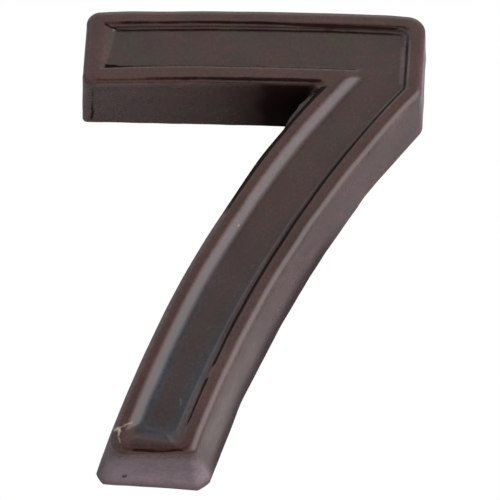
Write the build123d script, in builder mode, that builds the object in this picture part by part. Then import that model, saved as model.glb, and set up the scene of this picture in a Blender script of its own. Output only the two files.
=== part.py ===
"""Glazed ceramic house number, the numeral seven, in millimetres.

One moulded piece. A drafted body carries a raised rim around a sunk field on its face. Its back is
open, as on other hollow-cast numerals, so that the body dries evenly and fixing mortar can key in.
X runs to the right along the bar, Z runs up, and the face looks along -Y. The flat back rim lies in
Y = 0, and the origin is on its upper strip, behind the middle of the bar's top edge.
"""
import os

from build123d import *

# Face outline, seen from the front. Drops are measured down from the bar's top corners, and runs to
# the left from its top right corner. The foot is placed by its left corner.
face_width = 113.1
bar_height = 26.0
bar_tilt = 0.7
bar_top_radius = 1700.0
left_lean = 0.7
right_lean = 1.7
shoulder_drop = 29.1
inner_corner_run = 34.2
foot_run = 102.0
foot_drop = 153.6
foot_width = 28.1
foot_tilt = 1.6
stem_right_radius = 350.0
stem_left_radius = 375.0

# Body behind the face, drafted so that it leaves its mould. Spreads run from the face to the back.
depth = 26.5
top_spread = 3.8
bar_end_spread = 2.6
stem_right_spread = 3.2
foot_spread = 2.9
stem_left_spread = 3.8
underside_spread = 2.9
foot_flare = 1.2
inner_corner_flare = 1.4
stem_back_radius = 366.0

# Rounded edges and corners of the body
end_corner_radius = 5.0
lower_left_radius = 3.0
shoulder_radius = 5.0
foot_corner_radius = 3.6
inner_corner_radius = 1.5
face_edge_radius = 2.4
back_edge_radius = 0.8

# Sunk field inside the raised rim
rim_width = 4.0
rim_slope_width = 1.8
stem_slope_extra = 2.4
field_depth = 2.2
field_corner_radius = 1.6
field_edge_radius = 1.2
rim_inner_radius = 1.4

# Hollow in the back
back_rim_width = 7.0
hollow_depth = 16.5
hollow_draft = 2.4
hollow_corner_radius = 5.0
hollow_floor_radius = 3.5


def draw_sides(corners, top_radius, right_radius, left_radius):
    """Sides of a seven through its named corners, clockwise from the top of the bar.

    The top and the stem's left side bulge, and the stem's right side is hollow.
    """
    with BuildLine() as outline:
        RadiusArc(corners["top_left"], corners["top_right"], top_radius)
        Line(corners["top_right"], corners["shoulder"])
        RadiusArc(corners["shoulder"], corners["foot_right"], -right_radius)
        Line(corners["foot_right"], corners["foot_left"])
        RadiusArc(corners["foot_left"], corners["inner_corner"], left_radius)
        Line(corners["inner_corner"], corners["lower_left"])
        Line(corners["lower_left"], corners["top_left"])
    return outline.edges()


def inward(tangent):
    """Unit normal that points into the seven from a clockwise side."""
    return Vector(tangent.Y, -tangent.X)


def inset_corners(insets):
    """Corners of the face with each side moved in by its own inset."""
    corners = {}
    for index, name in enumerate(face_corners):
        before = inward(face_sides[index - 1] % 1)
        after = inward(face_sides[index] % 0)
        both = before.dot(after)
        along_before = (insets[index - 1] - both * insets[index]) / (1 - both**2)
        along_after = (insets[index] - both * insets[index - 1]) / (1 - both**2)
        corners[name] = face_corners[name] + before * along_before + after * along_after
    return corners


def inset_sides(insets, foot_shift=0.0):
    """Sides of the face moved in, with the foot's left corner moved on to the right."""
    corners = inset_corners(insets)
    corners["foot_left"] += Vector(foot_shift, 0)
    top, _, right, _, left, _, _ = insets
    return draw_sides(corners, bar_top_radius - top, stem_right_radius + right, stem_left_radius - left)


def corner_edges(builder, front, back):
    """Edges that run between two outlines, with their middles half way between two depths."""
    middle = -(front + back) / 2
    reach = abs(front - back) / 4
    return builder.edges(Select.LAST).filter_by_position(Axis.Y, middle - reach, middle + reach)


def flat_faces(builder):
    """Faces parallel to the back, from the front of the body to its back."""
    return builder.faces().filter_by(Plane.XZ).sort_by(Axis.Y)


half_width = face_width / 2
face_corners = {
    "top_left": Vector(-half_width, 0),
    "top_right": Vector(half_width, 0),
    "shoulder": Vector(half_width - right_lean, -shoulder_drop),
    "foot_right": Vector(half_width - foot_run + foot_width, -foot_drop - foot_tilt),
    "foot_left": Vector(half_width - foot_run, -foot_drop),
    "inner_corner": Vector(half_width - inner_corner_run, -bar_height),
    "lower_left": Vector(-half_width - left_lean, -bar_height - bar_tilt),
}
face_sides = draw_sides(face_corners, bar_top_radius, stem_right_radius, stem_left_radius)

# Spreads in the order of the sides, and the back outline with its two flared corners
spreads = [
    top_spread,
    bar_end_spread,
    stem_right_spread,
    foot_spread,
    stem_left_spread,
    underside_spread,
    bar_end_spread,
]
back_corners = inset_corners([-spread for spread in spreads])
back_corners["foot_right"] += Vector(foot_flare, 0)
back_corners["inner_corner"] -= Vector(0, inner_corner_flare)
back_sides = draw_sides(
    back_corners, bar_top_radius + top_spread, stem_back_radius, stem_left_radius + stem_left_spread
)

with BuildPart() as house_number:
    # Drafted body, widest at the back
    with BuildSketch(Plane.XZ):
        make_face(back_sides)
    with BuildSketch(Plane.XZ.offset(depth)):
        make_face(face_sides)
    loft(ruled=True)
    body_corners = corner_edges(house_number, depth, 0).sort_by(Axis.Z)
    lower_left, inner_corner, shoulder = body_corners[2:-2].sort_by(Axis.X)
    fillet(body_corners[-2:], end_corner_radius)
    fillet(body_corners[:2], foot_corner_radius)
    fillet(lower_left, lower_left_radius)
    fillet(shoulder, shoulder_radius)
    fillet(inner_corner, inner_corner_radius)
    fillet(flat_faces(house_number)[0].edges(), face_edge_radius)
    fillet(flat_faces(house_number)[-1].edges(), back_edge_radius)

    # Hollow with walls that follow the outside, and a rounded floor
    mouth_insets = [back_rim_width - spread for spread in spreads]
    with BuildSketch(Plane.XZ):
        make_face(inset_sides(mouth_insets))
    with BuildSketch(Plane.XZ.offset(hollow_depth)):
        make_face(inset_sides([inset + hollow_draft for inset in mouth_insets]))
    loft(ruled=True, mode=Mode.SUBTRACT)
    fillet(corner_edges(house_number, hollow_depth, 0), hollow_corner_radius)
    fillet(flat_faces(house_number)[1].edges(), hollow_floor_radius)

    # Field sunk into the face, with a slope inside the rim that widens down the stem's left side
    with BuildSketch(Plane.XZ.offset(depth)):
        make_face(inset_sides([rim_width] * 7))
    with BuildSketch(Plane.XZ.offset(depth - field_depth)):
        make_face(inset_sides([rim_width + rim_slope_width] * 7, stem_slope_extra))
    loft(ruled=True, mode=Mode.SUBTRACT)
    fillet(corner_edges(house_number, depth, depth - field_depth), field_corner_radius)
    fillet(flat_faces(house_number)[1].edges(), field_edge_radius)
    fillet(flat_faces(house_number)[0].inner_wires().edges(), rim_inner_radius)

house_number.part.label = "house_number"
os.makedirs("parts", exist_ok=True)
export_step(house_number.part, "parts/house_number.step")
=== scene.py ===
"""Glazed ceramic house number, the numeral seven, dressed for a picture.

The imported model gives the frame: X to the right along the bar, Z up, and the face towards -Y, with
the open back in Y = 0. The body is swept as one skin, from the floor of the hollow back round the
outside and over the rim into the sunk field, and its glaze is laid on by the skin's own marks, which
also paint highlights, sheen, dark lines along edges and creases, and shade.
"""
import math

import bpy
import numpy as np
from bpy.props import FloatProperty, FloatVectorProperty, PointerProperty
from mathutils import Matrix, Vector, noise


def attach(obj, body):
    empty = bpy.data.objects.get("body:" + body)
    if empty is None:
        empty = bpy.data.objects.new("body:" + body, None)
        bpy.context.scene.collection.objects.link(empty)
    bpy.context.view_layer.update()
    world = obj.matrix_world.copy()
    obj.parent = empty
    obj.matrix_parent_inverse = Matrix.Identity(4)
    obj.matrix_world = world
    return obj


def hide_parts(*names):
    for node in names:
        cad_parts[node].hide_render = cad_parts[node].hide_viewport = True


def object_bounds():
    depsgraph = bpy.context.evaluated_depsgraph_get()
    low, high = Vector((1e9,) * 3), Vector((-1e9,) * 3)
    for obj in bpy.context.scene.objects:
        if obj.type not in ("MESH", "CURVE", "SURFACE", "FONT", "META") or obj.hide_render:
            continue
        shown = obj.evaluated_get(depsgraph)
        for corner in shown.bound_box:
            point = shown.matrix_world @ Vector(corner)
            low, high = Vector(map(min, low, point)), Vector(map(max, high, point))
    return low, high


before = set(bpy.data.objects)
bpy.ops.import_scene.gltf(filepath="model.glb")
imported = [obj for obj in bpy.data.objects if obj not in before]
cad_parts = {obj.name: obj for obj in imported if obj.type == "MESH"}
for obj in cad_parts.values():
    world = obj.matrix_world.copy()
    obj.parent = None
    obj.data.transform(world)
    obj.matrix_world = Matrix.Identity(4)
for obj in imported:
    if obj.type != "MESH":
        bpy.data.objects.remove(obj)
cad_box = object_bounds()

bl_info = {
    "name": "Ceramic House Number",
    "version": (1, 0, 0),
    "blender": (4, 5, 0),
    "location": "3D View > Sidebar > House Number",
    "description": "Makes a glazed ceramic numeral seven and a plain stage for it",
    "category": "Add Mesh",
}

MM = 0.001

# Corners of the outline, clockwise from the bar's top left, and the side that starts at each
SIDES = 7
TOP_LEFT, TOP_RIGHT, SHOULDER, FOOT_RIGHT, FOOT_LEFT, INNER_CORNER, LOW_LEFT = range(SIDES)
TOP, RIGHT_END, STEM_RIGHT, FOOT, STEM_LEFT, UNDERSIDE, LEFT_END = range(SIDES)

# Points along each side and round each corner, and the share of a side's places that each of its
# two corners takes
SIDE_POINTS = (96, 30, 130, 34, 130, 130, 24)
CORNER_POINTS = 12
CORNER_REACH = 0.02

# A side with a lower bend than this is straight
STRAIGHT = 1e-6

# Turns of the skin's section, in order from the floor of the hollow to the middle of the field,
# with the steps between them and round each of them
FLOOR, FLOOR_EDGE, MOUTH, BACK_EDGE, FACE_EDGE, CREST, CREASE, MIDDLE = range(8)
SECTION_STEPS = (2, 8, 4, 24, 6, 5, 12)
TURN_STEPS = (0, 5, 3, 6, 10, 9, 9, 0)

# Share of a straight run that the roundings at its two ends may take
ROUNDING_SHARE = 0.96

# Each side has its own make, in the order of the outline: top, right end, stem's right side, foot,
# stem's left side, underside and left end. Spreads run from the face to the back, and crests and
# creases of the rim are measured in from the face outline.
SPREADS = np.array((3.8, 2.6, 3.2, 2.9, 3.8, 2.9, 2.6)) * MM
CRESTS = np.array((5.3, 5.4, 5.2, 3.6, 3.7, 5.2, 6.4)) * MM
CREASES = np.array((6.3, 6.0, 6.0, 6.8, 7.4, 6.2, 9.7)) * MM
OUTER_RADII = np.array((2.6, 2.2, 3.0, 1.8, 2.0, 1.3, 4.6)) * MM
CREST_RADII = np.array((3.0, 1.5, 1.5, 4.0, 4.4, 1.0, 6.0)) * MM
CREASE_RADII = np.array((2.6, 1.4, 1.4, 4.0, 4.6, 0.8, 5.0)) * MM

# Roundings of the hollow's floor, of its mouth and of the back's outer edge
FLOOR_RADIUS = 3.5 * MM
MOUTH_RADIUS = 0.8 * MM
BACK_EDGE_RADIUS = 0.7 * MM

# How far the skin is swept in: over the hollow's floor from the floor's edge, and over the field
# from the face outline
FLOOR_SWEEP = 4.2 * MM
FIELD_SWEEP = 10.3 * MM

# Corner radii in the order of the corners
HOLLOW_CORNERS = np.full(SIDES, 5 * MM)
BACK_CORNERS = np.array((4.2, 7.0, 5.0, 4.2, 2.7, 1.5, 1.6)) * MM
FACE_CORNERS = np.array((4.2, 5.6, 5.0, 3.0, 6.0, 1.5, 4.0)) * MM
FIELD_CORNERS = np.array((0.5, 2.4, 3.0, 3.5, 2.5, 2.0, 0.5)) * MM

# Fullness of each back corner: 1 is round, and a lower one is nearer to a flat bevel
BACK_FULLNESS = np.array((1.0, 1.0, 1.0, 0.3, 0.3, 1.0, 1.0))

# Middle, spread and height of the run of glaze on the stem's left wall under the bar, and the way
# that the roll of glaze beside it stands out
GLAZE_RUN = np.array((15.2, -22.3, -32.4)) * MM
GLAZE_RUN_SIZE = 1.3 * MM
GLAZE_RUN_HEIGHT = 1.1 * MM
BEAD_WAY = (-0.75, 0, 0.66)

# Small marks in the glaze: the knees of a line in millimetres across and up the face, its width in
# millimetres and its strength. The pale marks are painted glints, the brightest along the edge of a
# glaze flaw at the foot's left corner with three fainter lines off it, and one on a small glaze
# bubble.
GLINT_MARKS = (
    (((-42.3, -145.1), (-41.1, -144.8), (-40.9, -145.7)), 0.75, 1.0),
    (((-41.0, -144.7), (-39.5, -143.8), (-37.3, -142.6)), 0.40, 0.4),
    (((-40.9, -145.7), (-41.2, -146.8)), 0.45, 0.7),
    (((-41.1, -147.4), (-40.5, -149.3)), 0.40, 0.4),
    (((-5.1, -76.3), (-4.8, -76.0)), 0.35, 0.6),
    (((-22.3, -134.4), (-22.1, -136.4)), 0.35, 0.2),
)
DARK_MARKS = (
    (((-28.2, -147.6), (-25.9, -147.5)), 0.35, 0.7),
    (((-40.6, -155.25), (-39.4, -155.2)), 0.25, 0.9),
    (((-49.4, -19.8), (-46.8, -19.9)), 1.05, 2.2),
    (((-46.8, -19.9), (-41.0, -20.1)), 0.75, 1.8),
)
GLINT_WANDER = 1.1 * MM
DARK_WANDER = 0.3 * MM

# Cards and lamps of the stage: degrees to the right of the front and over the horizon, and then the
# distance and the size in metres
LOW_FLAG = (0, -12), 1.4, (1.02, 0.98)
LOW_SCRIM = (0, 12.6), 1.42, (1.6, 0.30)
HIGH_SCRIM = (0, 15.5), 1.44, (1.6, 0.42)
WINDOW = (60, -12), 1.1, (0.8, 0.7)
WINDOW_GLOW = (60, -12), 1.15, (1.35, 1.15)
SKY = (20, 78), 1.2, (1.0, 0.9)
FLOOR_SIZE = (6.0, 6.0)
BACK_CARD_SIZE = (1.6, 0.8)
BACK_CARD_GAP = 0.6 * MM

# Paints of the stage, and how much a scrim covers
FLOOR_PAINT = (0.78, 0.77, 0.76)
WHITE_PAINT = (0.86, 0.82, 0.86)
BLACK_PAINT = (0.01, 0.01, 0.01)
SCRIM_COVER = 0.2
WHITE = (1, 1, 1)


def length(name, description, default):
    """A size that a user may change, in metres."""
    return FloatProperty(
        name=name, description=description, default=default, unit="LENGTH", precision=5
    )


def colour(name, description, default):
    """A linear colour that a user may change."""
    return FloatVectorProperty(
        name=name, description=description, default=default, subtype="COLOR", min=0.0, max=1.0
    )


def point(name, description, default):
    """A place that a user may change, in metres."""
    return FloatVectorProperty(
        name=name, description=description, default=default, subtype="XYZ", unit="LENGTH"
    )


class NumeralSizes(bpy.types.PropertyGroup):
    """Sizes of the ceramic body"""

    face_width: length("Face width", "Width of the bar's face along its top", 0.1131)
    bar_height: length("Bar height", "Height of the bar's face at the inner corner", 0.026)
    bar_tilt: length("Bar tilt", "Extra height of the bar's face at its left end", 0.0007)
    bar_top_radius: length("Bar top radius", "Bulge of the bar's top edge", 1.7)
    bar_low_radius: length("Bar low radius", "Hollow of the bar's lower edge", 1.0)
    left_lean: length("Left lean", "How far the bar's left end leans out at its foot", 0.0009)
    right_lean: length("Right lean", "How far the right end leans in at the shoulder", 0.0017)
    shoulder_drop: length("Shoulder drop", "Height of the shoulder under the bar's top", 0.0291)
    inner_corner_run: length("Inner corner run", "Inner corner, from the right end", 0.0342)
    foot_run: length("Foot run", "Left corner of the foot, from the right end", 0.1024)
    foot_drop: length("Foot drop", "Left corner of the foot, under the bar's top", 0.1536)
    foot_width: length("Foot width", "Width of the foot", 0.0285)
    foot_tilt: length("Foot tilt", "How far the foot drops to its right corner", 0.0016)
    stem_right_radius: length("Stem right radius", "Hollow of the stem's right side", 0.35)
    stem_left_radius: length("Stem left radius", "Bulge of the stem's left side", 0.352)
    stem_back_radius: length("Stem back radius", "Hollow of the stem's right at the back", 0.366)
    foot_flare: length("Foot flare", "Extra spread behind the foot's right corner", 0.001)
    inner_flare: length("Inner flare", "Extra spread behind the inner corner", 0.0014)
    right_reach: length("Right reach", "How far the face's top right corner reaches out", 0.0005)
    left_tuck: length("Left tuck", "How far the lower left corner is tucked in behind", 0.0012)
    depth: length("Depth", "Depth of the body", 0.0265)
    stem_slope_extra: length("Stem slope extra", "Extra slope at the stem's left foot", 0.0006)
    right_slope_extra: length("Right slope extra", "Extra slope at the right of the foot", 0.0017)
    foot_rim_extra: length("Foot rim extra", "Extra rim at the right of the foot", 0.0003)
    foot_lift: length("Foot lift", "Extra rise of the face over the back at the foot", 0.002)
    foot_level: length("Foot level", "How far the face's foot is turned level", 0.0013)
    foot_tuck: length("Foot tuck", "How far the face's right foot corner is tucked in", 0.0009)
    field_tilt: length("Field tilt", "How far the field's foot slants beyond the face's", 0.0013)
    field_depth: length("Field depth", "Depth of the sunk field", 0.0022)
    back_rim_width: length("Back rim width", "Width of the rim round the open back", 0.007)
    hollow_depth: length("Hollow depth", "Depth of the open back", 0.0165)
    hollow_run: length("Hollow run", "How far the hollow narrows to its floor", 0.0024)
    inner_field_run: length("Inner field run", "Reach of the field's inner corner", 0.0016)
    inner_field_rise: length("Inner field rise", "Rise of the field's inner corner", 0.0005)
    left_field_run: length("Left field run", "Reach of the field's lower left corner", 0.0022)
    back_lift: length("Back lift", "Rise of the lower left corners at the back", 0.0006)
    top_droop: length("Top droop", "Droop of the bar's top towards its right end", 0.0007)
    top_swell: length("Top swell", "Rise of the bar's top at its left", 0.00035)
    stem_dent: length("Stem dent", "Dent of the stem's right edge at the back", 0.0005)
    stem_swell: length("Stem swell", "Swelling of the stem's left edge under the bar", 0.00045)
    bead: length("Bead", "Roll of glaze behind the rim in the inner corner", 0.0014)
    waviness: length("Waviness", "Hand-made unevenness of the walls", 0.00022)


class GlazeColours(bpy.types.PropertyGroup):
    """Colours of the glaze and of the clay, and of the painted highlights, glints, dark lines and
    shade
    """

    body: colour("Glaze", "Brown glaze at its usual thickness", (0.051, 0.0265, 0.022))
    thin: colour("Thin glaze", "Redder glaze on the rim and its edges", (0.071, 0.029, 0.023))
    # Near-black of the painted dark lines and painted shade, and of the small dark marks
    painted_dark: colour("Pooled glaze", "Nearly black glaze in creases", (0.011, 0.004, 0.0035))
    milky: colour("Milky glaze", "Cool cast at the feet of the slopes", (0.040, 0.045, 0.056))
    olive: colour("Olive glaze", "Greener clouds in the glaze", (0.047, 0.036, 0.018))
    rust: colour("Rust", "Redder flecks in the glaze", (0.064, 0.026, 0.021))
    # Lighter tone of the painted sheen low on the right wall and of painted highlights on edges and
    # the inner corner's wall
    dry_and_sheen: colour("Dry glaze", "Duller glaze low on the stem's right wall", (0.147, 0.124, 0.110))
    # Pale lilac of the painted highlights and reflection on slopes, edges, the foot's wall and the
    # glaze run
    painted_highlight: colour("Frosted glaze", "Pale glaze on the foot and on ridges", (0.30, 0.225, 0.255))
    clay: colour("Clay", "Bare fired clay", (0.40, 0.25, 0.17))
    # Pale tone of the painted glints on the glaze flaw at the foot's left corner and on a glaze
    # bubble
    glint: colour("Chip", "Pale clay in the chipped glaze", (0.55, 0.48, 0.40))


class StageSettings(bpy.types.PropertyGroup):
    """Camera, lamps and room"""

    eye: point("Eye", "Place of the camera", (-0.00219, -0.6133, -0.3105))
    aim: point("Aim", "Point that the camera faces", (-0.00127, -0.02654, -0.08527))
    roll: FloatProperty(
        name="Roll", description="Turn of the camera", default=math.radians(0.681), subtype="ANGLE"
    )
    lens: FloatProperty(
        name="Lens", description="Focal length on a 36 mm sensor", default=141.6, unit="CAMERA"
    )
    floor_drop: length("Floor drop", "Height of the floor under the bar's top", 0.9)
    room: colour("Room", "Level of the plain light from all round", (0.50, 0.49, 0.51))
    window: FloatProperty(
        name="Window", description="Brightness of the soft window at the right", default=1.5
    )
    window_tint: colour("Window tint", "Colour of the window's light", (0.98, 0.95, 0.985))
    sky: FloatProperty(
        name="Sky", description="Brightness of the soft lamp overhead", default=0.6
    )


def fade(value, low, high):
    """0 below low, 1 above high and smooth between; a high under low turns it round."""
    t = np.clip((value - low) / (high - low), 0, 1)
    return t * t * (3 - 2 * t)


def band(value, low, high, soft):
    """1 between two values and 0 outside them, with soft ends."""
    return fade(value, low - soft, low + soft) * fade(value, high + soft, high - soft)


def noise_of(points, scale, seed):
    """Smooth noise from -1 to 1 at each point, with features of about the given size."""
    shift = Vector((seed * 1.7, seed * 2.3, seed * 3.1))
    return np.array([noise.noise(Vector(p) / scale + shift) for p in points])


def face_outline(sizes):
    """Corners of the face outline, and the bends of the sides that start at them.

    A bend is one over the side's radius: positive where it bulges and negative where it is hollow.
    """
    half = sizes.face_width / 2
    foot_left = half - sizes.foot_run
    corners = np.array([
        (-half, 0),
        (half + sizes.right_reach, 0),
        (half - sizes.right_lean, -sizes.shoulder_drop),
        (foot_left + sizes.foot_width, -sizes.foot_drop - sizes.foot_tilt),
        (foot_left, -sizes.foot_drop),
        (half - sizes.inner_corner_run, -sizes.bar_height),
        (-half - sizes.left_lean, -sizes.bar_height - sizes.bar_tilt),
    ])
    bends = np.zeros(SIDES)
    bends[TOP] = 1 / sizes.bar_top_radius
    bends[STEM_RIGHT] = -1 / sizes.stem_right_radius
    bends[STEM_LEFT] = 1 / sizes.stem_left_radius
    bends[UNDERSIDE] = -1 / sizes.bar_low_radius
    return corners, bends


def back_outline(sizes):
    """Corners and bends of the back outline, which spreads and flares out behind the face."""
    corners, bends = inset_outline(*face_outline(sizes), -SPREADS)
    corners[FOOT_RIGHT, 0] += sizes.foot_flare
    corners[INNER_CORNER, 1] -= sizes.inner_flare
    corners[TOP_RIGHT, 0] -= sizes.right_reach
    corners[LOW_LEFT, 0] += sizes.left_tuck
    corners[[FOOT_LEFT, LOW_LEFT], 1] += sizes.back_lift
    bends[STEM_RIGHT] = -1 / sizes.stem_back_radius
    bends[UNDERSIDE] = 0
    return corners, bends


def along_side(start, end, bend, share):
    """Points and directions at the given shares of a straight or arched side, and its length."""
    chord = end - start
    reach = np.linalg.norm(chord)
    share = np.asarray(share, float)[:, None]
    if abs(bend) < STRAIGHT:
        return start + chord * share, np.repeat(chord[None] / reach, len(share), 0), reach
    outward = np.array((-chord[1], chord[0])) / reach
    turn = 2 * math.asin(reach * abs(bend) / 2)
    arm_over_chord = math.copysign(math.sqrt(1 / bend**2 - reach**2 / 4), bend)
    centre = (start + end) / 2 - outward * arm_over_chord
    angle = -math.copysign(turn, bend) * share[:, 0]
    cosine, sine = np.cos(angle), np.sin(angle)
    arm = start - centre
    turned = arm[0] * cosine - arm[1] * sine, arm[0] * sine + arm[1] * cosine
    points = centre + np.stack(turned, 1)
    spokes = (points - centre) * bend
    return points, np.stack((spokes[:, 1], -spokes[:, 0]), 1), turn / abs(bend)


def outline_sides(corners, bends):
    """Start, end and bend of each side of an outline."""
    return list(zip(corners, np.roll(corners, -1, 0), bends))


def inset_outline(corners, bends, insets):
    """Outline with each side moved in by its own inset."""
    ends = [along_side(*side, (0, 1))[1] for side in outline_sides(corners, bends)]
    moved = np.empty_like(corners)
    for i in range(SIDES):
        before, after = ends[i - 1][1], ends[i][0]
        inward = np.array(((before[1], -before[0]), (after[1], -after[0])))
        moved[i] = corners[i] + np.linalg.solve(inward, (insets[i - 1], insets[i]))
    return moved, bends / (1 - bends * insets)


def crossing(first, second):
    """Cross product of two flat vectors."""
    return first[0] * second[1] - first[1] * second[0]


def half_turn(before, after):
    """Cosine of half the turn from one direction to the next."""
    return math.sqrt((1 + float(before @ after)) / 2)


def rounded(start, knee, end, weight, t):
    """Points of the arc that rounds a knee; weight is the cosine of half its turn."""
    shares = ((1 - t) ** 2, 2 * weight * t * (1 - t), t**2)
    return (shares[0] * start + shares[1] * knee + shares[2] * end) / sum(shares)


def ring_points(corners, bends, radii, fullness):
    """One ring of points round the seven, clockwise, with rounded or bevelled corners."""
    sides = outline_sides(corners, bends)
    starts = np.zeros(SIDES)
    stops = np.ones(SIDES)
    for i in range(SIDES):
        _, into, reach_before = along_side(*sides[i - 1], (1,))
        _, out, reach = along_side(*sides[i], (0,))
        turn = math.acos(max(-1.0, min(1.0, float(into[0] @ out[0]))))
        trim = radii[i] * math.tan(turn / 2)
        stops[i - 1] = 1 - trim / reach_before
        starts[i] = trim / reach
    ring = []
    for i in range(SIDES):
        (a,), (leave,), _ = along_side(*sides[i - 1], (stops[i - 1],))
        (b,), (arrive,), _ = along_side(*sides[i], (starts[i],))
        knee = a + leave * crossing(b - a, arrive) / crossing(leave, arrive)
        t = np.linspace(0, 1, CORNER_POINTS + 1)[:-1, None]
        ring.append(rounded(a, knee, b, fullness[i] * half_turn(leave, arrive), t))
        steps = np.arange(SIDE_POINTS[i]) / SIDE_POINTS[i]
        ring.append(along_side(*sides[i], starts[i] + (stops[i] - starts[i]) * steps)[0])
    return np.concatenate(ring)


def ring_places():
    """Place of each point of a ring: whole numbers are corners, and 2.5 is a side's middle."""
    places = []
    for i in range(SIDES):
        corner = np.linspace(-CORNER_REACH, CORNER_REACH, CORNER_POINTS + 1)
        side = np.linspace(CORNER_REACH, 1 - CORNER_REACH, SIDE_POINTS[i] + 1)
        places += [corner[:-1] + i, side[:-1] + i]
    return np.concatenate(places)


def from_place(around, place):
    """How far each point of a ring lies from a place, by the shorter way round."""
    return np.abs((around - place + SIDES / 2) % SIDES - SIDES / 2)


def on_side(around, side):
    """1 along a side and 0 beyond its corners."""
    return band(around, side + CORNER_REACH, side + 1 - CORNER_REACH, CORNER_REACH)


def side_shares(around):
    """How much each side has a say at each point of a ring, blended past the corners."""
    shares = np.stack([fade(from_place(around, i + 0.5), 0.57, 0.43) for i in range(SIDES)], 1)
    return shares / shares.sum(1, keepdims=True)


def section_turns(sizes, side):
    """Knees of the section through one side, as insets from the back outline and heights."""
    face = SPREADS[side] + (sizes.foot_lift if side == FOOT else 0)
    floor = sizes.back_rim_width + sizes.hollow_run
    field = sizes.depth - sizes.field_depth
    return np.array([
        (floor + FLOOR_SWEEP, sizes.hollow_depth),
        (floor, sizes.hollow_depth),
        (sizes.back_rim_width, 0),
        (0, 0),
        (face, sizes.depth),
        (face + CRESTS[side], sizes.depth),
        (face + CREASES[side], field),
        (face + FIELD_SWEEP, field),
    ])


def skin_section(sizes, side):
    """Stations of a section through one side, as insets and heights, and their marks.

    A mark counts the turns: 4 is the face's outer edge and 4.5 the middle of the rim.
    """
    turns = section_turns(sizes, side)
    rim_radii = OUTER_RADII[side], CREST_RADII[side], CREASE_RADII[side]
    radii = (0, FLOOR_RADIUS, MOUTH_RADIUS, BACK_EDGE_RADIUS, *rim_radii, 0)
    runs = np.diff(turns, axis=0)
    reaches = np.linalg.norm(runs, axis=1)
    ways = runs / reaches[:, None]
    trims = np.zeros(len(turns))
    for i in range(1, len(turns) - 1):
        trims[i] = radii[i] * math.tan(math.acos(float(ways[i - 1] @ ways[i])) / 2)
    for i in range(len(reaches)):
        crowd = (trims[i] + trims[i + 1]) / (ROUNDING_SHARE * reaches[i])
        if crowd > 1:
            trims[i:i + 2] /= crowd
    points = []
    marks = []
    for i in range(len(reaches)):
        t = np.arange(SECTION_STEPS[i])[:, None] / SECTION_STEPS[i]
        start, stop = turns[i] + ways[i] * trims[i], turns[i + 1] - ways[i] * trims[i + 1]
        first, last = i + trims[i] / reaches[i], i + 1 - trims[i + 1] / reaches[i]
        points.append(start + (stop - start) * t)
        marks.append(first + (last - first) * t[:, 0])
        if i + 1 < len(reaches):
            t = np.arange(TURN_STEPS[i + 1])[:, None] / TURN_STEPS[i + 1]
            after = turns[i + 1] + ways[i + 1] * trims[i + 1]
            points.append(rounded(stop, turns[i + 1], after, half_turn(ways[i], ways[i + 1]), t))
            marks.append(last + (i + 1 + trims[i + 1] / reaches[i + 1] - last) * t[:, 0])
    points.append(turns[-1:])
    marks.append([len(reaches)])
    return np.concatenate(points), np.concatenate(marks)


def corner_radii(mark):
    """Radii of the seven corners at a place of the section."""
    if mark < MOUTH:
        return HOLLOW_CORNERS * np.interp(mark, (0.2, 1.15), (0.2, 1.0))
    if mark < BACK_EDGE:
        return HOLLOW_CORNERS + (BACK_CORNERS - HOLLOW_CORNERS) * (mark - MOUTH)
    if mark < FACE_EDGE:
        return BACK_CORNERS + (FACE_CORNERS - BACK_CORNERS) * (mark - BACK_EDGE)
    field = FIELD_CORNERS * np.interp(mark, (CREASE, MIDDLE), (1.0, 0.3))
    return FACE_CORNERS + (field - FACE_CORNERS) * min(1, mark - FACE_EDGE)


def face_share(sizes, mark, height):
    """How far a ring's outline has turned from the back's into the face's, from 0 to 1."""
    if mark < MOUTH + 0.5:
        return 0.0
    if mark > FACE_EDGE + 0.5:
        return 1.0
    return height / sizes.depth


def uneven_rim(sizes, corners, mark):
    """Corners of a ring, shifted where the rim, its slope and the field leave an even width."""
    turns = FACE_EDGE, CREST, CREASE
    right_extra = sizes.foot_rim_extra + sizes.right_slope_extra
    tilt = np.interp(mark, turns, (0, 0.5, 1)) * sizes.field_tilt
    corners[FOOT_RIGHT, 0] -= np.interp(mark, turns, (0, sizes.foot_rim_extra, right_extra))
    corners[FOOT_RIGHT, 1] -= tilt
    corners[FOOT_LEFT, 0] += np.interp(mark, turns, (0, 0, 1)) * sizes.stem_slope_extra
    corners[FOOT_LEFT, 1] += tilt
    corners[INNER_CORNER, 0] += np.interp(mark, turns, (0, 0.4, 1)) * sizes.inner_field_run
    corners[INNER_CORNER, 1] += np.interp(mark, turns, (0, 0, 1)) * sizes.inner_field_rise
    left = np.interp(mark, (*turns, MIDDLE), (0, 0.3, 1, 0))
    corners[LOW_LEFT, 0] -= left * sizes.left_field_run
    return corners


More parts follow.
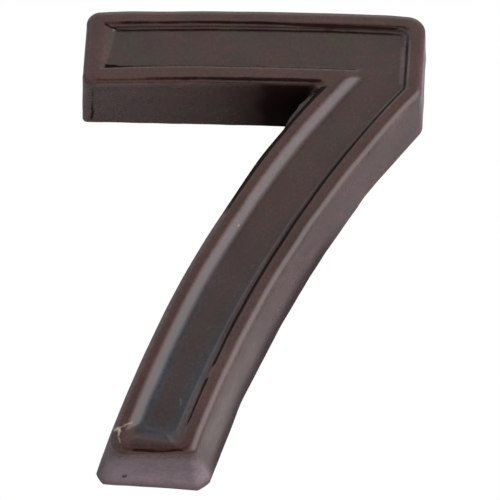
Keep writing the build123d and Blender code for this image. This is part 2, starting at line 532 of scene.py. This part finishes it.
def skin_rings(sizes):
    """Points of the rings from the hollow's floor to the field, with their marks and places."""
    around = ring_places()
    shares = side_shares(around)
    sections = [skin_section(sizes, side) for side in range(SIDES)]
    insets = np.stack([points[:, 0] for points, _ in sections], 1)
    heights = np.stack([points[:, 1] for points, _ in sections], 1)
    side_marks = np.stack([marks for _, marks in sections], 1)
    face_corners, face_bends = face_outline(sizes)
    back_corners, back_bends = back_outline(sizes)
    rings = []
    marks = []
    for inset, height, mark in zip(insets, heights, side_marks):
        middle = mark.mean()
        share = face_share(sizes, middle, height.mean())
        corners = back_corners + (face_corners - back_corners) * share
        bends = back_bends + (face_bends - back_bends) * share
        corners[FOOT_RIGHT] += np.array((-sizes.foot_tuck, sizes.foot_level)) * share
        corners[FOOT_LEFT, 1] -= sizes.foot_level * share
        corners, bends = inset_outline(corners, bends, inset - SPREADS * share)
        corners = uneven_rim(sizes, corners, middle)
        fullness = 1 + (BACK_FULLNESS - 1) * fade(np.abs(middle - BACK_EDGE), 0.8, 0.2)
        flat = ring_points(corners, bends, corner_radii(middle), fullness)
        rings.append(np.stack((flat[:, 0], -shares @ height, flat[:, 1]), 1))
        marks.append(shares @ mark)
    return np.concatenate(rings), np.concatenate(marks), np.tile(around, len(rings))


def ring_faces(ring, total):
    """Faces between the rings of a skin, and the two that close its ends."""
    faces = []
    for low in range(0, total - ring, ring):
        high = low + ring
        for k in range(ring):
            n = (k + 1) % ring
            faces.append((low + k, high + k, high + n, low + n))
    return faces + [tuple(range(ring)), tuple(reversed(range(total - ring, total)))]


def glaze_run(points, around):
    """1 in the middle of the run of glaze under the bar, fading away round it."""
    gaps = (points - GLAZE_RUN) / GLAZE_RUN_SIZE
    return np.exp(-np.sum(gaps**2, 1)) * on_side(around, STEM_LEFT)


def hand_finish(sizes, points, mark, around):
    """Points moved by the unevenness of hand work, and by the run and the roll of glaze."""
    outside = fade(mark, MOUTH, BACK_EDGE)
    sway = np.stack([
        noise_of(points, 0.03, 1 + i) + 0.45 * noise_of(points, 0.01, 4 + i) for i in range(3)
    ], 1)
    sway[:, 1] *= fade(mark, BACK_EDGE, BACK_EDGE + 0.3)
    for axis in (0, 2):
        sway[:, axis] += 0.7 * noise_of(points, 0.006, 31 + axis) * band(mark, 2.95, 3.1, 0.1)
    points = points + sizes.waviness * outside[:, None] * sway

    points[:, 0] -= GLAZE_RUN_HEIGHT * glaze_run(points, around)
    bead = band(mark, 3.76, 3.9, 0.05) * band(around, 4.02, 4.985, 0.01)
    bead *= fade(points[:, 0] / MM, 8, 13)
    points += sizes.bead * bead[:, None] * BEAD_WAY

    x, z = points[:, 0] / MM, points[:, 2] / MM
    droop = sizes.top_droop * fade(x, 42, 57) - sizes.top_swell * band(x, -48, -36, 9)
    points[:, 2] -= droop * fade(z, -9, -1) * outside
    dent = band(z, -60, -47, 8) + band(z, -133, -123, 7)
    dent *= band(around, 2.04, 2.96, 0.03) * band(mark, 2.6, 3.35, 0.35)
    swell = band(around, 4.04, 4.96, 0.03) * band(z, -61, -45, 8) * band(mark, 3.5, 4.3, 0.35)
    points[:, 0] -= sizes.stem_dent * dent + sizes.stem_swell * swell
    return points


class SkinPlaces:
    """Where each point of the skin lies, and the parts of the numeral that it belongs to.

    The millimetres x, y and z run across, back and up. A mark counts the turns of the section, so
    that 4 is the face's outer edge, 5 the rim's crest and 6 the crease at the foot of its slope.
    Around counts the corners of the outline, so that 4.5 is the middle of the stem's left side.
    """

    def __init__(self, points, mark, around):
        self.points, self.mark, self.around = points, mark, around
        self.x, self.y, self.z = points.T / MM
        self.top = band(around, 0.02, 0.97, 0.02)
        self.right = band(around, 1.14, 2.96, 0.03)
        self.foot = on_side(around, FOOT)
        self.stem_left = on_side(around, STEM_LEFT)
        self.underside = on_side(around, UNDERSIDE)
        self.wall = band(mark, 3.1, 3.9, 0.15)
        self.inner_wall = self.stem_left * band(mark, 3.7, 3.97, 0.03) * fade(self.x, 5, 10)


def thin_glaze(at):
    """Redder glaze on the rim, under the foot's dark line and thinly on the right wall."""
    under_foot_line = at.foot * band(at.mark, 3.85, 4.1, 0.08) * band(at.x, -41, -16, 3)
    return 0.85 * band(at.mark, 4.0, 5.3, 0.2) + 0.15 * at.wall * at.right + under_foot_line


def top_lines(at):
    """Dark lines painted along the bar's top, on the crest, in the crease and on the slope between,
    as dark reflection and shade.
    """
    swell = 0.5 + 0.5 * noise_of(at.points, 0.011, 51)
    risen = at.mark - 0.25 * fade(at.x, 0, 28)
    crest = fade(risen, 4.86 - 0.25 * swell, 5.0 - 0.15 * swell) * fade(risen, 5.25, 5.12)
    crest *= fade(at.x, -48, -44) * np.interp(at.x, (-46, -10, 20), (0.6, 0.75, 1.0))
    crease = (0.7 + 0.3 * swell) * band(at.mark, 5.85, 6.08, 0.1)
    slope = (0.2 + 0.2 * swell) * band(at.mark, 5.0, 6.0, 0.1) * fade(at.x, -22, 2)
    return np.max((crest, crease, slope), 0) * at.top


def right_line(at):
    """Dark line painted as shade inside the rim down the right end and the stem's right side, with a
    gap in it.
    """
    heights = (-145, -110, -75.5, -71.5, -50, -34)
    low = np.interp(at.z, heights, (5.02, 5.0, 5.0, 5.05, 5.15, 5.35))
    high = np.interp(at.z, heights, (5.2, 5.3, 5.42, 5.45, 5.6, 5.75))
    stem = fade(at.mark, low - 0.1, low + 0.1) * fade(at.mark, high + 0.08, high - 0.08)
    stem *= band(at.around, 2.0, 2.96, 0.03)
    end = 0.75 * band(at.mark, 5.52, 5.7, 0.1) * band(at.around, 1.14, 2.0, 0.03)
    return np.maximum(stem, end) * fade(np.abs(at.z + 126), 1.2, 2.6) * fade(at.z, -146, -142)


def painted_dark_lines(at):
    """Dark lines painted along crests, edges and creases as dark reflection and shade, the strongest
    at each point.
    """
    x, mark, around = at.x, at.mark, at.around
    corner = band(mark, 5.0, 6.1, 0.1) * fade(from_place(around, TOP_LEFT), 0.03, 0.01)
    bar_crease = band(mark, 5.92, 6.1, 0.05) * at.underside
    bar_crease *= np.interp(x, (-50, -40, -30, 20), (0.8, 0.7, 0.45, 0.36))
    bar_edge = band(mark, 4.1, 4.3, 0.1) * at.underside
    bar_edge *= np.interp(x, (-40, -36, -15, 0), (0, 0.6, 0.75, 1))
    end_gap = x + 56.2 + 0.098 * at.y + 0.7 * noise_of(at.points, 0.005, 41)
    left_end = 0.85 * band(mark, 3.08, 3.9, 0.05) * at.underside * fade(np.abs(end_gap), 0.75, 0.2)
    sagging = mark + 0.1 * band(x, -31, -25, 5)
    foot = band(sagging, 4.2, 4.36, 0.1) * band(around, 3.02, 3.98, 0.01) * fade(x, -39, -35)
    inner = 0.85 * band(mark, 3.98, 4.36, 0.06) * band(around, 4.02, 4.995, 0.005)
    inner *= fade(x, -14, -4)
    lines = top_lines(at), right_line(at), corner, bar_crease, bar_edge, left_end, foot, inner
    return np.max(lines, 0)


def painted_shade(at):
    """Painted shade under the bar by the inner corner and at the right wall's back, and painted
    darkening of the reflection inside the foot's rim and on its slope.
    """
    x, mark = at.x, at.mark
    inner_edge = x + 2.5 * noise_of(at.points, 0.008, 61)
    inner_shade = 0.42 * fade(x, -12, 3) + 0.5 * fade(inner_edge, -1, 4)
    inner_shade *= band(mark, 2.9, 3.95, 0.03) * at.underside
    back_edge_shade = 0.65 * fade(mark, 3.42, 3.12) * fade(mark, 2.9, 3.0)
    back_edge_shade *= at.right * fade(at.z, -62, -82)
    foot_rim_shade = 0.35 * band(mark, 4.4, 5.5, 0.2) * at.foot
    foot_slope_shade = 0.4 * band(mark, 5.5, 6.1, 0.2) * band(at.around, 3.02, 4.01, 0.02)
    foot_slope_shade *= fade(x, -18, -26)
    return inner_shade + back_edge_shade + foot_rim_shade + foot_slope_shade


def milky_glaze(at):
    """Cool cast low on the numeral, at the feet of the slopes and up the stem's left slope."""
    feet = np.exp(-((at.mark - 6.2) / 0.75) ** 2)
    reach = np.maximum(fade(at.mark, 5.3, 5.9), at.stem_left * fade(at.mark, 4.95, 5.5))
    return 0.85 * fade(at.z, -65, -135) * feet * reach


def dry_glaze_and_sheen(at):
    """Painted sheen low on the right wall over a duller glaze, and painted highlights on some edges,
    beside the right line and on the inner corner's wall.
    """
    mark, z = at.mark, at.z
    streak = 0.75 + 0.5 * band(mark, 3.52, 3.68, 0.12)
    right_wall_sheen = streak * at.wall * at.right * fade(z, -80, -150)
    highlight_lines = at.right * (band(mark, 4.95, 5.1, 0.1) + band(mark, 5.98, 6.1, 0.08))
    highlight_lines *= np.maximum(fade(z, -42, -34), fade(z, -100, -125))
    edge_highlight = at.underside * band(mark, 3.9, 3.98, 0.05)
    pink_highlight = at.right * band(mark, 3.96, 4.12, 0.06)
    return right_wall_sheen + 0.7 * highlight_lines + 0.5 * edge_highlight + 0.5 * pink_highlight + at.inner_wall


def painted_highlights(at):
    """Painted highlights and reflection on the foot's wall, along slopes and edges, and on the run
    under the bar.
    """
    mark, around, z = at.mark, at.around, at.z
    end_strips = 0.32 * band(mark, 5.98, 6.38, 0.08) + 0.25 * band(mark, 4.92, 5.2, 0.1)
    end_strips *= band(around, 1.15, 1.95, 0.04)
    corner_patch = 0.3 * band(mark, 5.2, 6.2, 0.15) * band(around, 1.0, 1.12, 0.03)
    foot_ridge = 0.12 * band(mark, 3.15, 3.95, 0.1)
    foot_ridge *= fade(from_place(around, FOOT_RIGHT), 0.03, 0.012)
    foot_wall = at.wall * fade(z, -151, -154) * fade(mark, 3.92, 3.76)
    foot_wall *= 0.45 + 0.25 * fade(mark, 3.8, 3.1)
    right_slope = (0.2 + 0.1 * fade(z, -120, -145)) * band(mark, 5.32, 6.02, 0.08)
    right_slope *= band(around, 2.0, 2.99, 0.01) * fade(z, -50, -84)
    left_slope = 0.18 * np.interp(z, (-110, -80), (0, 1)) * band(mark, 5.0, 5.75, 0.15)
    left_edge = 0.42 * fade(mark, 4.55, 4.05) * fade(mark, 3.6, 3.8) * fade(z, -45, -75)
    low_rim = 0.06 * band(mark, 4.15, 4.9, 0.1) * at.right * fade(z, -80, -110)
    run = 0.25 * glaze_run(at.points, around)
    slopes = end_strips + corner_patch + right_slope + (left_slope + left_edge) * at.stem_left
    return slopes + foot_ridge + foot_wall + low_rim + run + 0.15 * at.inner_wall


def skin_marks(at):
    """Strength of each glaze and painted highlight, sheen, dark line and shade at each point, from 0
    to 1.
    """
    marks = {
        "thin": thin_glaze(at),
        "painted_dark": painted_dark_lines(at),
        "shade": painted_shade(at),
        "milky": milky_glaze(at),
        "dry_and_sheen": dry_glaze_and_sheen(at),
        "painted_highlight": painted_highlights(at),
        "mossy": 0.2 + 0.8 * fade(at.z, -75, -30),
        "bare": fade(at.mark, 3.0, 2.72),
    }
    return {name: np.clip(strength, 0, 1) for name, strength in marks.items()}


def skin_mesh(sizes):
    """One closed skin of rings, with its marks kept on the vertices."""
    points, mark, around = skin_rings(sizes)
    faces = ring_faces(sum(SIDE_POINTS) + SIDES * CORNER_POINTS, len(points))
    points = hand_finish(sizes, points, mark, around)
    mesh = bpy.data.meshes.new("house_number_skin")
    mesh.from_pydata(points, [], faces)
    for name, strength in skin_marks(SkinPlaces(points, mark, around)).items():
        layer = mesh.attributes.new(name, "FLOAT", "POINT")
        layer.data.foreach_set("value", strength.astype(np.float32))
    mesh.shade_smooth()
    mesh.update()
    return mesh


class Value:
    """A socket in Python arithmetic: an expression on values adds its Math nodes."""

    def __init__(self, shader, socket):
        self.shader = shader
        self.socket = socket

    def math(self, operation, first, second, clamp=False):
        settings = {"operation": operation, "use_clamp": clamp}
        return self.shader.add("ShaderNodeMath", settings, {0: first, 1: second})

    def __add__(self, other):
        return self.math("ADD", self, other)

    def __radd__(self, other):
        return self.math("ADD", other, self)

    def __sub__(self, other):
        return self.math("SUBTRACT", self, other)

    def __rsub__(self, other):
        return self.math("SUBTRACT", other, self)

    def __mul__(self, other):
        return self.math("MULTIPLY", self, other)

    def __rmul__(self, other):
        return self.math("MULTIPLY", other, self)

    def __truediv__(self, other):
        return self.math("DIVIDE", self, other)

    def at_least(self, other):
        return self.math("MAXIMUM", self, other)

    def at_most(self, other):
        return self.math("MINIMUM", self, other)

    def clamped(self):
        return self.math("ADD", self, 0.0, clamp=True)


class Shader:
    """Node tree of a material or of the world."""

    def __init__(self, owner):
        owner.use_nodes = True
        self.tree = owner.node_tree
        self.tree.nodes.clear()

    def add(self, kind, settings=None, inputs=None, output=0):
        """Adds a node: its settings first, then the values or links of its sockets."""
        node = self.tree.nodes.new(kind)
        for name, value in (settings or {}).items():
            setattr(node, name, value)
        for name, value in (inputs or {}).items():
            socket = node.inputs[name]
            if isinstance(value, Value):
                self.tree.links.new(value.socket, socket)
            else:
                socket.default_value = value
        return Value(self, node.outputs[output]) if node.outputs else None

    def mark(self, name):
        """A mark of the skin, read from its vertices."""
        return self.add("ShaderNodeAttribute", {"attribute_name": name}, output=2)

    def mix(self, first, second, share):
        """Colour between two colours."""
        tints = {i: t if isinstance(t, Value) else (*t, 1) for i, t in ((6, first), (7, second))}
        return self.add("ShaderNodeMix", {"data_type": "RGBA"}, {0: share, **tints}, output=2)

    def levelled(self, tint, level):
        """A colour made lighter or darker."""
        return self.add("ShaderNodeHueSaturation", {}, {"Color": tint, "Value": level})

    def blend(self, share, first, second):
        """Surface between two surfaces."""
        return self.add("ShaderNodeMixShader", {}, {0: share, 1: first, 2: second})

    def vector(self, operation, first, second, output=0):
        """Vector arithmetic between sockets or plain vectors."""
        return self.add(
            "ShaderNodeVectorMath", {"operation": operation}, {0: first, 1: second}, output
        )

    def noise(self, place, scale, detail=3.0, roughness=0.55, output=0):
        """Noise with a given number of features in a metre."""
        inputs = {"Vector": place, "Scale": scale, "Detail": detail, "Roughness": roughness}
        return self.add("ShaderNodeTexNoise", {}, inputs, output)

    def background_rays(self):
        """1 for rays that show the background: to the lens, in a gloss or through glass."""
        seen, glossy, clear = (self.add("ShaderNodeLightPath", output=i) for i in (0, 3, 6))
        return (seen + glossy + clear).clamped()

    def near_line(self, place, knees, width):
        """1 on a line drawn across the face through its knees, falling to 0 at its width."""
        flat = self.vector("MULTIPLY", place, (1, 0, 1))
        knees = [Vector((across, 0, up)) * MM for across, up in knees]
        nearest = None
        for start, end in zip(knees, knees[1:]):
            way = end - start
            offset = self.vector("SUBTRACT", flat, tuple(start))
            along = self.vector("DOT_PRODUCT", offset, tuple(way), 1) / way.length_squared
            scaled = {0: tuple(way), "Scale": along.clamped()}
            foot = self.add("ShaderNodeVectorMath", {"operation": "SCALE"}, scaled)
            gap = self.vector("DISTANCE", offset, foot, 1)
            nearest = gap if nearest is None else gap.at_most(nearest)
        return (1 - nearest / width).clamped()

    def small_marks(self, place, marks, unevenness):
        """The strongest of some short uneven lines across the face."""
        wander = self.vector("SUBTRACT", self.noise(place, 1100.0, 2.0, output=1), (0.5, 0.5, 0.5))
        wander = self.vector("MULTIPLY", wander, (unevenness, 0, unevenness))
        uneven = self.vector("ADD", place, wander)
        strongest = None
        for knees, width, strength in marks:
            line = strength * self.near_line(uneven, knees, width * MM)
            strongest = line if strongest is None else line.at_least(strongest)
        return strongest

    def finish(self, surface, kind="ShaderNodeOutputMaterial"):
        """Joins a surface to the output."""
        self.add(kind, {}, {"Surface": surface})


def glazed_clay(colours):
    """Brown glaze over a fired clay body, bare where the back was wiped before firing, with painted
    light and shade.
    """
    material = bpy.data.materials.new("glazed_clay")
    shader = Shader(material)
    place = shader.add("ShaderNodeTexCoord", output=3)
    marks = "thin", "painted_dark", "shade", "milky", "dry_and_sheen", "painted_highlight", "mossy", "bare"
    thin, painted_dark, shade, milky, dry_and_sheen, painted_highlight, mossy, wiped = (shader.mark(name) for name in marks)

    cloud = shader.noise(place, 90.0)
    drift = shader.noise(place, 110.0, 2.0)
    blotch = shader.noise(place, 190.0, 2.0)
    fleck = shader.noise(place, 900.0, 4.0, 0.6)
    grit = shader.noise(place, 2600.0, 2.0)
    ripple = shader.noise(place, 70.0, 1.0)
    strokes = shader.noise(shader.vector("MULTIPLY", place, (0.12, 0.12, 1.0)), 900.0, 2.0)
    ragged = 0.7 * (blotch - 0.5) + 0.7 * (fleck - 0.5)
    bare = (5 * wiped + 4 * ragged - 2).clamped()
    glazed = 1 - bare

    # Coats of glaze and of painted sheen and highlight over one another, each with its share
    coats = (
        (colours.olive, mossy * (3.6 * drift - 1.5)),
        (colours.rust, 2.8 * blotch - 1.15),
        (colours.thin, thin * (0.5 + 1.0 * cloud)),
        (colours.dry_and_sheen, dry_and_sheen * (0.2 + 0.8 * cloud + 0.4 * fleck)),
        (colours.milky, milky * (0.4 + 1.2 * cloud)),
        (colours.painted_highlight, painted_highlight * (0.3 + 0.6 * cloud + 0.1 * fleck + 0.6 * strokes)),
    )
    tint = colours.body
    for coat, share in coats:
        tint = shader.mix(tint, coat, share.clamped())
    tint = shader.levelled(tint, 0.05 + 0.7 * cloud + 1.2 * fleck)
    # Painted glints: the small pale marks
    glint = shader.small_marks(place, GLINT_MARKS, GLINT_WANDER)
    tint = shader.mix(tint, colours.glint, (1.5 * glint * (0.3 + fleck) * glazed).clamped())

    dark_clay = [0.5 * channel for channel in colours.clay]
    clay = shader.mix(colours.clay, dark_clay, (2.4 * fleck - 0.9).clamped())
    clay = shader.levelled(clay, 0.4 + 0.7 * cloud + 0.5 * grit)
    tint = shader.mix(tint, clay, bare)

    gloss = 0.17 + 0.1 * cloud + 0.08 * fleck + 0.15 * (dry_and_sheen + painted_highlight) + 0.6 * bare
    height = ripple * glazed + 0.4 * grit * bare
    bump = {"Strength": 0.12, "Distance": 0.4 * MM, "Height": height}
    normal = shader.add("ShaderNodeBump", {}, bump)
    coat = {"Base Color": tint, "Roughness": gloss, "IOR": 1.5, "Normal": normal}
    glaze = shader.add("ShaderNodeBsdfPrincipled", {}, coat)
    # Painted dark lines and painted shade turn the glaze into a near-black coat with almost no
    # reflection, as do the small dark marks
    dark_paint = {"Base Color": (*colours.painted_dark, 1), "Roughness": 0.6, "Specular IOR Level": 0.05}
    painted_dark_coat = shader.add("ShaderNodeBsdfPrincipled", {}, dark_paint)
    lines = 0.9 * (2.4 * painted_dark + 2.4 * ragged - 0.7).clamped()
    dark = (shader.small_marks(place, DARK_MARKS, DARK_WANDER) * glazed).clamped()
    shader.finish(shader.blend(lines.at_least(shade).at_least(dark), glaze, painted_dark_coat))
    return material


def plain_finish(name, tint, one_sided=False, cover=1.0):
    """Matt paint for a card; one-sided, it is clear from behind, and a scrim covers in part."""
    material = bpy.data.materials.new(name)
    shader = Shader(material)
    surface = shader.add("ShaderNodeBsdfDiffuse", {}, {"Color": (*tint, 1)})
    clear = shader.add("ShaderNodeBsdfTransparent")
    if one_sided:
        behind = shader.add("ShaderNodeNewGeometry", output=6)
        surface = shader.blend(behind, surface, clear)
    elif cover < 1:
        surface = shader.blend(cover, clear, surface)
    shader.finish(surface)
    return material


def pale_floor(tint):
    """Matt floor that looks paler than its light, and keeps the object's shadow."""
    material = bpy.data.materials.new("pale_floor")
    shader = Shader(material)
    paint = shader.add("ShaderNodeBsdfDiffuse", {}, {"Color": (*tint, 1)})
    glow = shader.add("ShaderNodeEmission", {}, {"Color": (*WHITE, 1), "Strength": 1.0})
    shader.finish(shader.blend(0.5 * shader.background_rays(), paint, glow))
    return material


class MakeHouseNumber(bpy.types.Operator):
    """Makes the ceramic body with its rim, sunk field and hollow back, and glazes it"""

    bl_idname = "house_number.make_body"
    bl_label = "Make House Number"

    def execute(self, context):
        scene = context.scene
        body = bpy.data.objects.new("house_number_body", skin_mesh(scene.numeral_sizes))
        body.data.materials.append(glazed_clay(scene.glaze_colours))
        scene.collection.objects.link(body)
        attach(body, "root")
        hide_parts("house_number")
        return {"FINISHED"}


def direction(azimuth, elevation):
    """Direction from the object, by degrees to the right of the front and over the horizon."""
    a, e = math.radians(azimuth), math.radians(elevation)
    return Vector((math.sin(a) * math.cos(e), -math.cos(a) * math.cos(e), math.sin(e)))


def flat_panel(name, centre, facing, size, material):
    """A flat card on the stage that faces along a direction."""
    turn = Vector(facing).to_track_quat("Z", "Y").to_matrix()
    across, up = (turn.col[i] * size[i] / 2 for i in (0, 1))
    signs = (-1, -1), (1, -1), (1, 1), (-1, 1)
    corners = [Vector(centre) + a * across + b * up for a, b in signs]
    mesh = bpy.data.meshes.new(name)
    mesh.from_pydata(corners, [], [(0, 1, 2, 3)])
    mesh.materials.append(material)
    panel = bpy.data.objects.new(name, mesh)
    bpy.context.scene.collection.objects.link(panel)
    return panel


def reflected_card(name, angles, distance, size, material, middle):
    """A card that the lens doesn't see, only the glaze."""
    away = direction(*angles)
    card = flat_panel(name, middle + away * distance, -away, size, material)
    card.visible_camera = False


def soft_lamp(name, angles, distance, size, brightness, tint, middle):
    """A rectangular lamp of an even brightness that faces the middle of the object."""
    away = direction(*angles)
    lamp = bpy.data.lights.new(name, "AREA")
    lamp.shape = "RECTANGLE"
    lamp.size, lamp.size_y = size
    lamp.energy = brightness * math.pi * size[0] * size[1]
    lamp.color = tint
    holder = bpy.data.objects.new(name, lamp)
    holder.location = middle + away * distance
    holder.rotation_euler = away.to_track_quat("Z", "Y").to_euler()
    bpy.context.scene.collection.objects.link(holder)


def place_camera(scene, settings):
    """The camera, turned from its eye to its aim and rolled a little."""
    eye, aim = Vector(settings.eye), Vector(settings.aim)
    back = (eye - aim).normalized()
    right = Vector((0, 0, 1)).cross(back).normalized()
    up = back.cross(right)
    turn = Matrix((right, up, back)).transposed() @ Matrix.Rotation(settings.roll, 3, "Z")
    camera = bpy.data.objects.new("camera", bpy.data.cameras.new("camera"))
    camera.data.lens = settings.lens
    camera.matrix_world = Matrix.Translation(eye) @ turn.to_4x4()
    scene.collection.objects.link(camera)
    scene.camera = camera


def light_room(scene, tint):
    """Plain light from all round, with white wherever the background is seen."""
    scene.world = bpy.data.worlds.new("room")
    shader = Shader(scene.world)
    plain, white = (
        shader.add("ShaderNodeBackground", {}, {"Color": (*level, 1), "Strength": 1.0})
        for level in (tint, WHITE)
    )
    surface = shader.blend(shader.background_rays(), plain, white)
    shader.finish(surface, "ShaderNodeOutputWorld")


class SetStage(bpy.types.Operator):
    """Sets the camera, the pale floor, the card behind the numeral and the soft lamps"""

    bl_idname = "house_number.set_stage"
    bl_label = "Set Stage"

    def execute(self, context):
        scene = context.scene
        settings = scene.stage_settings
        low, high = cad_box
        middle = (low + high) / 2
        place_camera(scene, settings)

        floor = pale_floor(FLOOR_PAINT)
        flat_panel("floor", (0, 0, -settings.floor_drop), (0, 0, 1), FLOOR_SIZE, floor)
        white = plain_finish("white_card", WHITE_PAINT, one_sided=True)
        behind = (0, BACK_CARD_GAP, middle.z)
        card = flat_panel("back_card", behind, (0, -1, 0), BACK_CARD_SIZE, white)
        card.visible_camera = card.visible_diffuse = card.visible_shadow = False
        black = plain_finish("black_card", BLACK_PAINT)
        reflected_card("low_flag", *LOW_FLAG, black, middle)
        scrim = plain_finish("scrim", BLACK_PAINT, cover=SCRIM_COVER)
        reflected_card("scrim_low", *LOW_SCRIM, scrim, middle)
        reflected_card("scrim_high", *HIGH_SCRIM, scrim, middle)

        soft_lamp("window", *WINDOW, settings.window, settings.window_tint, middle)
        soft_lamp("window_glow", *WINDOW_GLOW, settings.window, settings.window_tint, middle)
        soft_lamp("sky", *SKY, settings.sky, WHITE, middle)
        light_room(scene, settings.room)
        scene.view_settings.view_transform = "Standard"
        return {"FINISHED"}


class HouseNumberPanel(bpy.types.Panel):
    """Sizes, colours and steps of the house number"""

    bl_idname = "VIEW3D_PT_house_number"
    bl_label = "House Number"
    bl_space_type = "VIEW_3D"
    bl_region_type = "UI"
    bl_category = "House Number"

    def draw(self, context):
        scene = context.scene
        for group in (scene.numeral_sizes, scene.glaze_colours, scene.stage_settings):
            box = self.layout.box()
            for name in group.__annotations__:
                box.prop(group, name)
        self.layout.operator(MakeHouseNumber.bl_idname)
        self.layout.operator(SetStage.bl_idname)


CLASSES = (NumeralSizes, GlazeColours, StageSettings, MakeHouseNumber, SetStage, HouseNumberPanel)


def register():
    for kind in CLASSES:
        bpy.utils.register_class(kind)
    bpy.types.Scene.numeral_sizes = PointerProperty(type=NumeralSizes)
    bpy.types.Scene.glaze_colours = PointerProperty(type=GlazeColours)
    bpy.types.Scene.stage_settings = PointerProperty(type=StageSettings)


def unregister():
    del bpy.types.Scene.stage_settings
    del bpy.types.Scene.glaze_colours
    del bpy.types.Scene.numeral_sizes
    for kind in reversed(CLASSES):
        bpy.utils.unregister_class(kind)


def main():
    register()
    bpy.ops.house_number.make_body()
    bpy.ops.house_number.set_stage()


if __name__ == "__main__":
    main()
